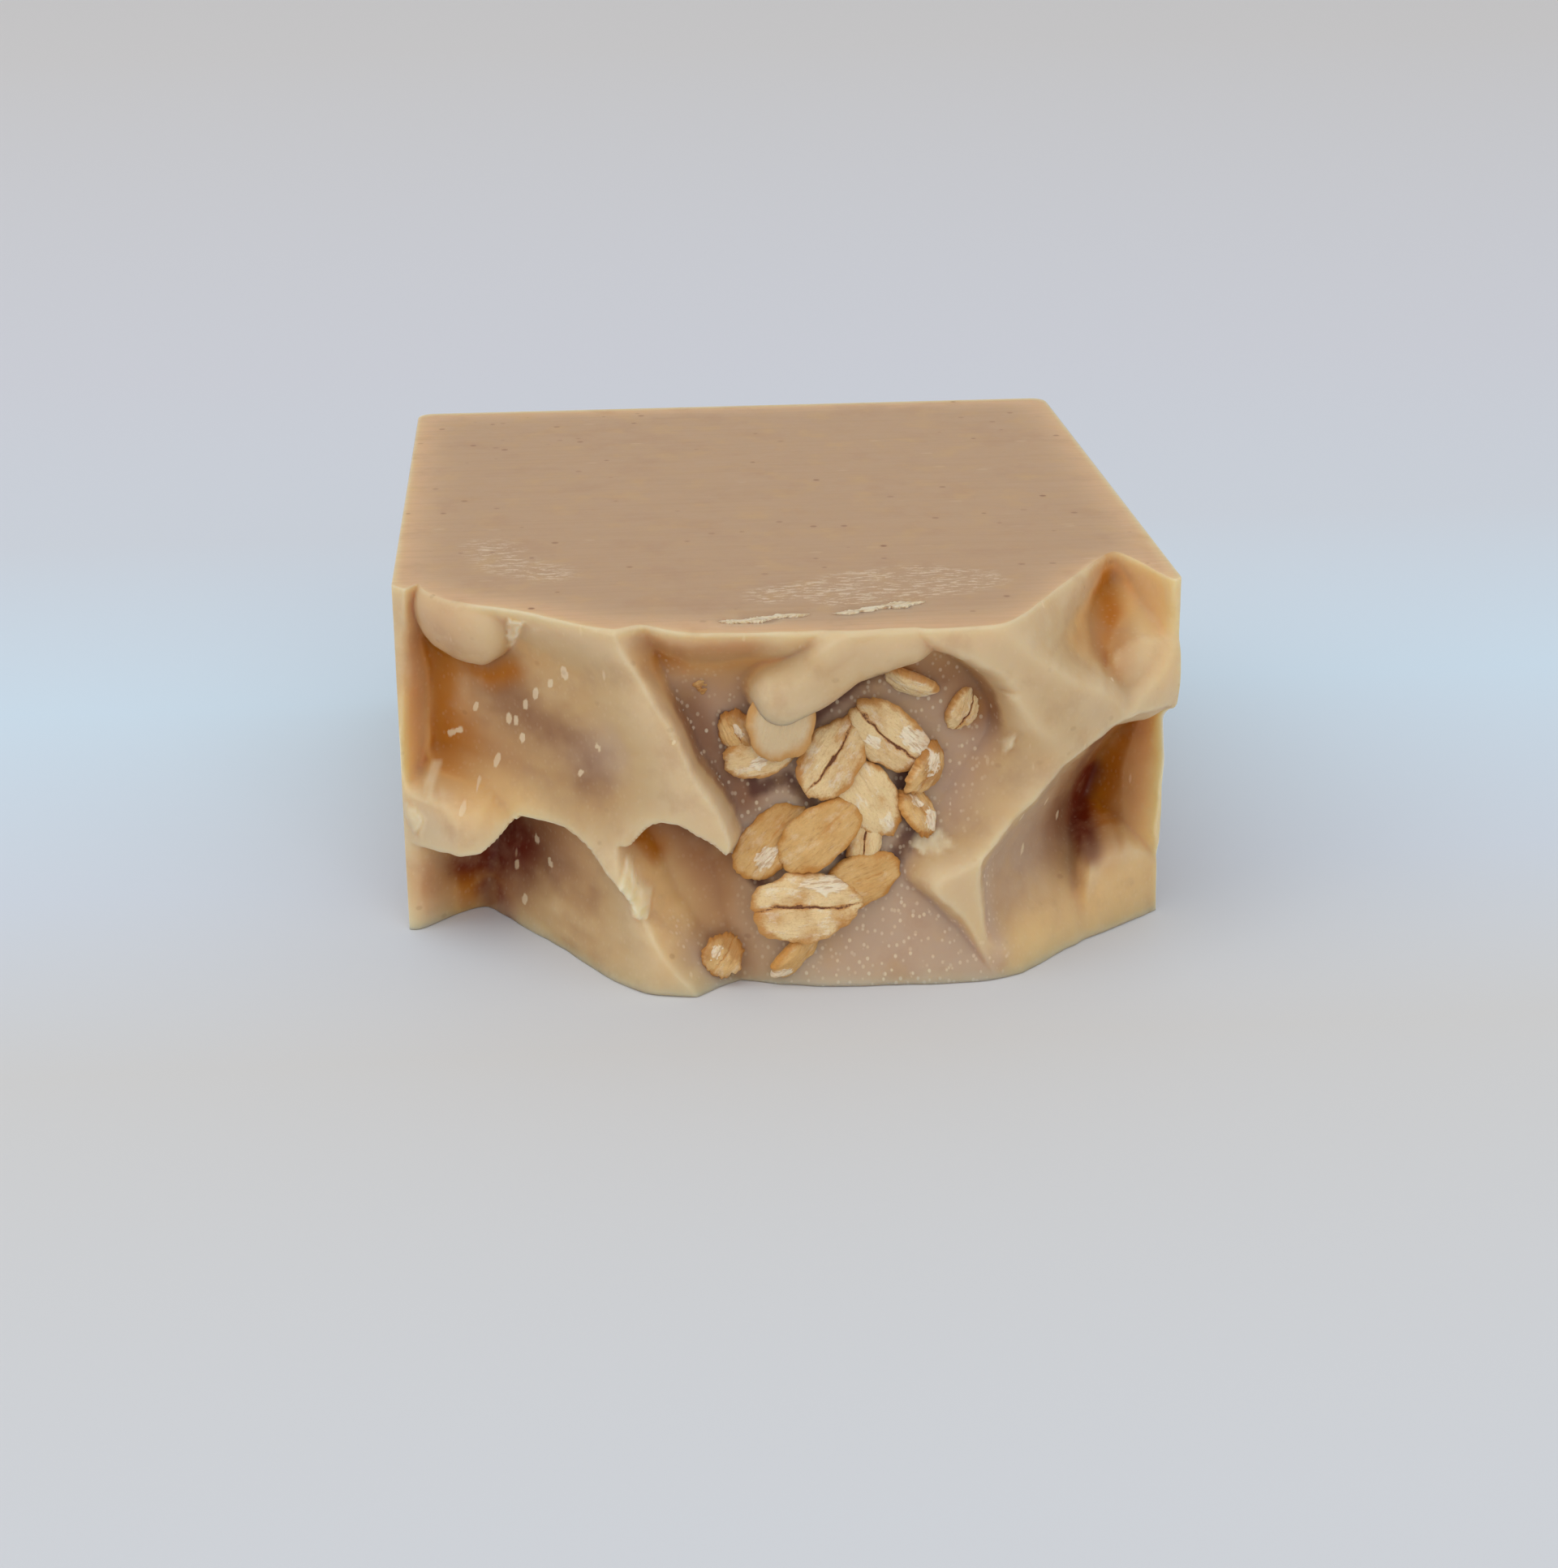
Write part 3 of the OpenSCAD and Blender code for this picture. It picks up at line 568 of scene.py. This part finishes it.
# Painted light: an amber glow by the moulded sides and in some crevices, as light let through the thin walls.
worked = ((painted_amber_glow_w + 0.15 * (patches - 0.5)).over(0.0, 1.0) * lit_deep * 0.95).mix(worked, ink(176, 104, 4))
# Painted shade: dark red in the two creases.
worked = ((painted_crease_shade_w + 0.15 * (patches - 0.5)).over(0.0, 0.8) * 0.92).mix(worked, ink(104, 20, 2))
# Painted shadow: dark brown in the gaps under the tongue and between the flakes.
worked = ((painted_gap_shadow_w + 0.5 * (fleck - 0.5)).over(0.1, 0.9) * 0.85).mix(worked, ink(84, 38, 22))
# Painted light: thin crests and edges are painted cream, as light let through.
worked = (near_w.over(0.46, 0.34) * 0.3).mix(worked, ink(210, 188, 156))
worked = (rag_w * 0.7).mix(worked, ink(224, 206, 170))
# Painted light and shade on the upper cut face: cream towards its edges, as light let through, and darker tan
# where more soap lies round.
cut = (wide_w + 0.05 * (clouds - 0.5)).over(0.54, 0.30).mix(ink(186, 152, 119), ink(206, 170, 131))
cut = (near_w.over(0.44, 0.30) * 0.5).mix(cut, ink(216, 184, 144))
wire_marks = grain(0.6, 4, (0.05, 1, 1), 11, 0.65)
cut = (wire_marks.over(0.42, 0.66) * 0.2).mix(cut, ink(170, 136, 104))
colour = face_w.mix(cut, worked)
colour = (patches.over(0.5, 0.75) * 0.3).mix(colour, ink(204, 166, 116))
colour = (grain(5, 5, seed=43, rough=0.6).over(0.5, 0.7) * 0.3).mix(colour, ink(172, 134, 104))
white_dots = dots(0.55, 0.2, 0.9, (1, 1, 0.8)) * (0.12 + 0.88 * bed_w) * face_w
streaks = dots(2.6, 0.32, 0.33, (1.6, 1, 0.45), 7.0) * face_w
scuffs = dots(1.7, 0.3, 0.25, (0.35, 1, 1), 19.0) * (1 - face_w)
specks = dots(2.0, 0.3, 0.5, (0.7, 0.8, 1), 3.0) * (0.9 - 0.6 * face_w) * (0.3 + 0.8 * patches)
chalk = smear_w.over(0.05, 0.6) * grain(0.35, 4, (0.3, 1, 1), 23, 0.7).over(0.5, 0.6)
colour = (white_dots * 0.75).mix(colour, ink(228, 208, 178))
streaks = streaks.sum("MAXIMUM", bubble_w.over(0.1, 0.6))
colour = (streaks * 0.8).mix(colour, ink(226, 204, 170))
colour = (scuffs * 0.35).mix(colour, ink(214, 186, 152))
colour = (chalk * 0.75).mix(colour, ink(222, 200, 172))
colour = specks.mix(colour, ink(112, 58, 30))
height = (0.6 * grain(1.4, 5, seed=5) + 0.25 * fleck + white_dots * 0.3
          + streaks * 0.6 + (1 - face_w) * wire_marks * 0.5 + chalk * 0.5)
bump = w.node("Bump", {}, {"Strength": 0.35, "Distance": 0.0002, "Height": height})
for key, value in (("Base Color", colour), ("Roughness", 0.42 + 0.2 * patches), ("Normal", bump)):
    tree.links.new(value.socket, skin_in[key])
skin_in["Subsurface Weight"].default_value = 0.85
skin_in["Subsurface Radius"].default_value = (1.0, 0.72, 0.45)
skin_in["Subsurface Scale"].default_value = 0.005
skin_in["Specular IOR Level"].default_value = 0.25
skin_in["IOR"].default_value = 1.45
soap_mesh.materials.append(soap_look)

# The rolled oats: whole flakes scattered on the wet soap and pressed in along the valley.
# Each is a husked groat steamed and rolled flat, creased down its middle, ragged at its rim,
# tan with floury cream streaks. A row is [x, z, length, width, spin, lift, pitch, roll, look].
flake_t, curl = 1.5, 0.5
flakes = {
    "oat_upper_right": (7.8, 20.9, 8.2, 5.3, -40, 1.5, 0, 8, "creased"),
    "oat_upper_middle": (2.9, 19.3, 8, 5.2, 55, 1.7, 4, -8, "creased"),
    "oat_centre": (6.1, 15.4, 7.4, 4.8, -58, 1.2, 4, 0, "pale"),
    "oat_golden": (1.8, 12.8, 8.4, 4.9, 37, 1.9, 0, -4, "golden"),
    "oat_left_of_golden": (-2.3, 12.2, 8, 4.7, 45, 0.6, 0, -12, "golden"),
    "oat_small_upright": (5.65, 12.2, 5.8, 3, 80, 0.45, 0, 6, "creased"),
    "oat_under_broad": (5.3, 8.8, 7.2, 4.4, 22, 0.65, 0, 6, "golden"),
    "oat_broad": (0.4, 6.7, 9.6, 5.9, 3, 1.8, 0, -6, "creased"),
    "oat_round_end": (-6.7, 2.7, 3.9, 3.6, 60, 0.4, 0, 0, "bran"),
    "oat_on_edge": (-0.3, 2.8, 5.8, 3.4, 45, 0.3, 0, 50, "golden"),
    "oat_in_bank": (14.4, 22.7, 4.6, 3, 63, 0, 0, 25, "creased"),
    "oat_under_lip": (9.7, 25.2, 5.2, 2.6, -22, 0.5, 0, 45, "pale"),
    "oat_under_tongue": (-1.4, 23.4, 8, 5.8, 82, 3.4, 0, 0, "waxed"),
    "oat_chip_left": (-4.9, 21.3, 4.4, 3.2, -62, 0.8, 0, 20, "bran"),
    "oat_below_tongue": (-3.1, 19.5, 6.4, 3.8, 12, 1, 0, -6, "pale"),
    "oat_husk_right": (11, 17.9, 5, 3.2, 62, 1.4, 0, 40, "bran"),
    "oat_chip_right": (10.3, 14.3, 4.8, 3, -60, 0.9, 0, -30, "bran"),
    "oat_speck_left": (-7.9, 25.6, 2.2, 1.8, 30, 0, 0, 20, "bran"),
}
# Where the bran is torn off down to white flour: along and across, as shares of half the length and
# half the width, and a size.
white = {"oat_upper_right": [(0.45, 0.45, 0.4), (-0.2, -0.4, 0.25)],
         "oat_broad": [(0.4, 0.6, 0.34), (0.1, 0.62, 0.2)],
         "oat_left_of_golden": [(-0.35, -0.3, 0.34)], "oat_on_edge": [(-0.85, 0, 0.45)],
         "oat_round_end": [(0, 0.4, 0.4)], "oat_husk_right": [(0.3, 0.2, 0.5)],
         "oat_chip_right": [(0.5, 0.2, 0.45), (-0.4, 0, 0.3)], "oat_chip_left": [(-0.2, 0.2, 0.3)],
         "oat_below_tongue": [(-0.1, -0.3, 0.3)], "oat_centre": [(0.6, 0.2, 0.22)]}
# How creased, how golden and how ragged each look is. A waxed flake has soap over it.
looks = {"creased": (1.0, 0.3, 0.25), "golden": (0.25, 1.0, 0.2), "pale": (0.15, 0.15, 0.15),
         "bran": (0.5, 0.9, 0.8), "waxed": (0, 0, 0)}


def flake_skin(length, width, seed, creased, ragged, tears):
    """A flake's two sides about its own middle: points in mm, faces, and what each point is like."""
    rings, spokes = 34, 108
    a = np.linspace(0, 2 * math.pi, spokes, endpoint=False)[None, :]
    r = (np.linspace(0, 1, rings) ** 0.75)[:, None]
    wobble = 1 + 0.06 * ripple(0.9, seed, 3 * np.cos(a), 3 * np.sin(a))
    wobble = wobble + (0.015 + 0.1 * ragged) * ripple(0.3, seed + 1, 3 * np.cos(a), 3 * np.sin(a)) * r ** 6
    x = r * np.cos(a) * wobble
    y = r * np.sin(a) * wobble * (1 - 0.12 * np.cos(a))
    dome = np.sqrt(np.clip(1 - r ** 4.5, 0, 1)) + 0 * a
    across = y + 0.07 * np.sin(3 * x + seed) + 0.05 * ripple(0.14, seed + 7, x, y)
    groove = np.exp(-(across / 0.05) ** 2) * np.clip(1.1 - np.abs(x), 0, 1) ** 0.4 * creased
    lobes = np.sin(math.pi * np.clip(np.abs(across) / 0.95, 0, 1)) * creased
    fibre = ripple(0.05, seed + 2, y + 0.05 * ripple(0.4, seed + 5, x, y), x * 0.12)
    lumpy = ripple(0.33, seed + 3, x, y)
    tear = 0
    for at, off, size in tears:
        edge = 0.25 * ripple(0.15, seed + 9, x, y) + 0.2 * ripple(0.07, seed + 10, x, y)
        d = np.sqrt((x - at) ** 2 + ((y - off) * width / length * 1.6) ** 2) / size + edge
        tear = np.maximum(tear, np.clip((1 - d) * 5, 0, 1))
    flap = tear * (0.5 + 0.5 * ripple(0.09, seed + 11, x + 0.4 * y, y))
    top = (0.5 * flake_t * dome * (0.8 + 0.22 * lobes - 0.06 * groove) + 0.05 * fibre * dome
           + 0.13 * lumpy * dome + 0.16 * flap * dome - curl * x * x)
    low = -0.5 * flake_t * dome * 0.9 - curl * x * x * (0.2 + 0.8 * r)
    pts, faces, facts = [], [], []
    for z_of, side in ((top, 1), (low, -1)):
        pts.append(np.stack([x * length / 2, y * width / 2, z_of], -1).reshape(-1, 3))
        like = [x * length / 2, y * width / 2, r + 0 * a, groove, tear + 0 * x]
        facts.append(np.stack(like, -1).reshape(-1, 5))
        k = np.arange(rings * spokes).reshape(rings, spokes) + (0 if side > 0 else rings * spokes)
        q = np.stack([k[:-1], np.roll(k[:-1], -1, 1), np.roll(k[1:], -1, 1), k[1:]], -1).reshape(-1, 4)
        faces.append(q[:, ::-1] if side > 0 else q)
    return np.concatenate(pts), np.concatenate(faces), np.concatenate(facts)


def turned(points, axis, degrees):
    return points @ np.array(Matrix.Rotation(math.radians(degrees), 3, axis)).T


oat_look, tree, w, oat_in = finish_of("rolled_oat")
along, across, rim_r, crease_m, tear_m, golden_m, bran_m, who, waxed = (
    w.node("Attribute", {"attribute_name": n}, out=2)
    for n in ("along", "across", "rim", "crease", "tear", "golden", "bran", "who", "waxed"))
grid = w.node("CombineXYZ", {}, {0: along + 40 * who, 1: across, 2: who * 17})


def streak(size, stretch, detail=4.0, rough=0.55):
    moved = w.node("Mapping", {}, {0: grid, 3: stretch})
    return w.node("TexNoise", {}, {"Vector": moved, "Scale": 1 / size, "Detail": detail, "Roughness": rough})


fibres = streak(0.3, (0.2, 1, 1), 5, 0.65)
blots = streak(1.8, (0.8, 1, 1), 4)
flour = streak(1.1, (0.5, 1, 1), 6, 0.75)
fine = streak(0.14, (0.7, 1, 1), 4, 0.7)
straw, honey, bran_brown, chalk, burnt = (ink(240, 212, 160), ink(220, 174, 106), ink(168, 110, 52),
                                          ink(250, 238, 214), ink(96, 42, 14))
colour = (golden_m * 0.8 + 0.8 * (blots - 0.55)).over(0.0, 0.9).mix(straw, honey)
colour = ((blots + 0.35 * (fine - 0.5)).over(0.58, 0.72) * 0.5).mix(colour, honey)
colour = (fibres.over(0.52, 0.72) * (0.22 + 0.25 * golden_m)).mix(colour, bran_brown)
colour = ((flour + 0.2 * (fine - 0.5)).over(0.52, 0.62) * (0.7 - 0.5 * golden_m)).mix(colour, chalk)
rim_tan = (rim_r + 0.6 * (blots - 0.5) + 0.2 * (fine - 0.5)).over(0.8, 0.98)
colour = (rim_tan * 0.8).mix(colour, ink(204, 140, 58))
colour = (fine.over(0.5, 0.68) * 0.32).mix(colour, ink(186, 138, 84))
colour = (bran_m * blots.over(0.42, 0.6) * 0.7).mix(colour, bran_brown)
colour = ((crease_m + 0.9 * (blots - 0.5)).over(0.02, 0.45) * 0.65).mix(colour, ink(200, 132, 54))
colour = ((crease_m + 1.6 * (fine - 0.5)).over(0.35, 0.8) * 0.9).mix(colour, burnt)
colour = ((tear_m + 2 * (flour - 0.5)).over(0.3, 1.1) * 0.75).mix(colour, chalk)
colour = (tear_m * fibres.over(0.5, 0.6) * 0.6).mix(colour, ink(190, 146, 96))
colour = (waxed * 0.88).mix(colour, ink(216, 190, 150))
colour = (waxed * (rim_r + 0.5 * (blots - 0.5)).over(0.62, 0.95) * 0.75).mix(colour, ink(206, 146, 66))
height = fibres * 0.5 + 0.5 * fine + 0.8 * flour - crease_m * 0.4
bump = w.node("Bump", {}, {"Strength": 0.8, "Distance": 0.00025, "Height": height})
for key, value in (("Base Color", colour), ("Roughness", 0.55 + 0.3 * fibres), ("Normal", bump)):
    tree.links.new(value.socket, oat_in[key])
oat_in["Subsurface Weight"].default_value = 0.25
oat_in["Subsurface Radius"].default_value = (1.0, 0.6, 0.3)
oat_in["Subsurface Scale"].default_value = 0.0008

for seed, (name, row) in enumerate(flakes.items()):
    x, z, length, width, spin, lift, pitch, roll, look = row
    creased, golden, ragged = looks[look]
    points, faces, facts = flake_skin(length, width, 20 + 7 * seed, creased, ragged, white.get(name, ()))
    points = turned(turned(points, "Y", pitch), "X", roll)
    points = turned(points, "Z", spin) + (0, 0, lift)
    below, bed, above = (float(valley_bed(np.array(x), np.array(z + d))) for d in (-2, 0, 2))
    points = turned(points, "X", 90 - math.degrees(math.atan((below - above) / 4)))
    points = points + (x, rim_y - bed, z)
    mesh = bpy.data.meshes.new(name + "_flake")
    mesh.from_pydata((points * MM).tolist(), [], faces.tolist())
    mesh.polygons.foreach_set("use_smooth", [True] * len(mesh.polygons))
    for key, values in zip(("along", "across", "rim", "crease", "tear"), facts.T):
        mark(mesh, key, values)
    for key, value in (("golden", golden), ("bran", ragged), ("who", seed / len(flakes)),
                       ("waxed", look == "waxed")):
        mark(mesh, key, np.full(len(points), float(value)))
    mesh.materials.append(oat_look)
    flake = bpy.data.objects.new(name + "_flake", mesh)
    bpy.context.collection.objects.link(flake)
    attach(flake, "root")
    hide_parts(name)

# Two flakes that the wire cut through: pale torn slivers lying in the upper face, floury white
# with a few brown threads, each in a shallow scar that its drag left in the soap.
for seed, (name, x, y, length, width, spin) in enumerate(slivers):
    u, v = np.meshgrid(np.linspace(-1, 1, 120), np.linspace(-1, 1, 26), indexing="ij")
    half = np.sqrt(np.clip(1 - np.abs(u) ** 2.4, 0, 1))
    half = half * (0.62 + 0.38 * ripple(0.16, 90 + seed, u + 3, 0 * u))
    half = half * (1 + 0.35 * ripple(0.045, 92 + seed, u + 3, np.sign(v) * 5 + 0 * u))
    px = u * length / 2 + 0.25 * ripple(0.2, 94 + seed, u + 3, v)
    py = v * half * width / 2 + 0.18 * np.sin(4 * u + seed)
    pz = -0.02 - 0.05 * np.abs(ripple(0.12, 96 + seed, u, 2 * v)) - 0.5 * np.abs(v) ** 12
    lay = turned(np.stack([px, py, pz], -1).reshape(-1, 3), "Z", spin) + (x, y, slice_t)
    points = np.concatenate([lay, lay - (0, 0, 0.5)])
    k = np.arange(u.size).reshape(u.shape)
    q = np.stack([k[:-1, :-1], k[1:, :-1], k[1:, 1:], k[:-1, 1:]], -1).reshape(-1, 4)
    mesh = bpy.data.meshes.new(name + "_cut")
    mesh.from_pydata((points * MM).tolist(), [], np.concatenate([q, q[:, ::-1] + u.size]).tolist())
    for key, values in (("along", px), ("across", py * 2.5), ("rim", np.abs(v) * 0.9), ("tear", 0.9 + 0 * u),
                        ("who", 0.3 + 0.5 * seed + 0 * u), ("golden", 0.2 + 0 * u)):
        mark(mesh, key, np.tile(values.ravel(), 2))
    mesh.materials.append(oat_look)
    sliver = bpy.data.objects.new(name + "_cut", mesh)
    bpy.context.collection.objects.link(sliver)
    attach(sliver, "root")
    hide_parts(name)

# The table and the light: a plain pale table, bluer further back, under a broad soft lamp overhead,
# a window lamp from the left, a soft lamp from the front and an even white room.
floor_mesh = bpy.data.meshes.new("table")
floor_mesh.from_pydata([(-3, -3, 0), (3, -3, 0), (3, 3, 0), (-3, 3, 0)], [], [(0, 1, 2, 3)])
table = bpy.data.objects.new("table", floor_mesh)
bpy.context.collection.objects.link(table)
table_look, tree, w, table_in = finish_of("pale_table")
spot = w.node("TexCoord", out=3)
spot_y = Wire(tree, w.node("SeparateXYZ", {}, {0: spot}).socket.node.outputs[1])
shade_at = spot_y * 1.4 + 0.17
shade = shade_at.node("ValToRGB", {"stops": [
    (0.00, ink(218, 222, 228)[:3]), (0.09, ink(217, 218, 219)[:3]), (0.14, ink(216, 226, 239)[:3]),
    (0.21, ink(214, 234, 250)[:3]), (0.30, ink(215, 222, 232)[:3]), (0.43, ink(216, 219, 228)[:3]),
    (0.99, ink(216, 215, 216)[:3])]}, {0: shade_at})
tree.links.new(shade.socket, table_in["Base Color"])
table_in["Roughness"].default_value = 0.8
floor_mesh.materials.append(table_look)
room = bpy.data.worlds.new("room")
bpy.context.scene.world = room
room.use_nodes = True
room.node_tree.nodes["Background"].inputs[0].default_value = (1, 1, 1, 1)
room.node_tree.nodes["Background"].inputs[1].default_value = 0.6


def lamp(name, place, aim, size, power):
    light = bpy.data.lights.new(name, "AREA")
    light.size, light.energy = size, power
    made = bpy.data.objects.new(name, light)
    bpy.context.collection.objects.link(made)
    made.location = place
    made.rotation_euler = (Vector(aim) - Vector(place)).to_track_quat("-Z", "Y").to_euler()


lamp("overhead", (-0.4, -0.5, 2.4), (0, 0, 0), 2.2, 11)
lamp("window", (-1.8, -0.6, 1.4), (0, 0, 0.01), 1.6, 6)
lamp("front", (0.3, -2.4, 0.9), (0, 0, 0.01), 2.0, 16)
bpy.context.scene.view_settings.view_transform = "Standard"
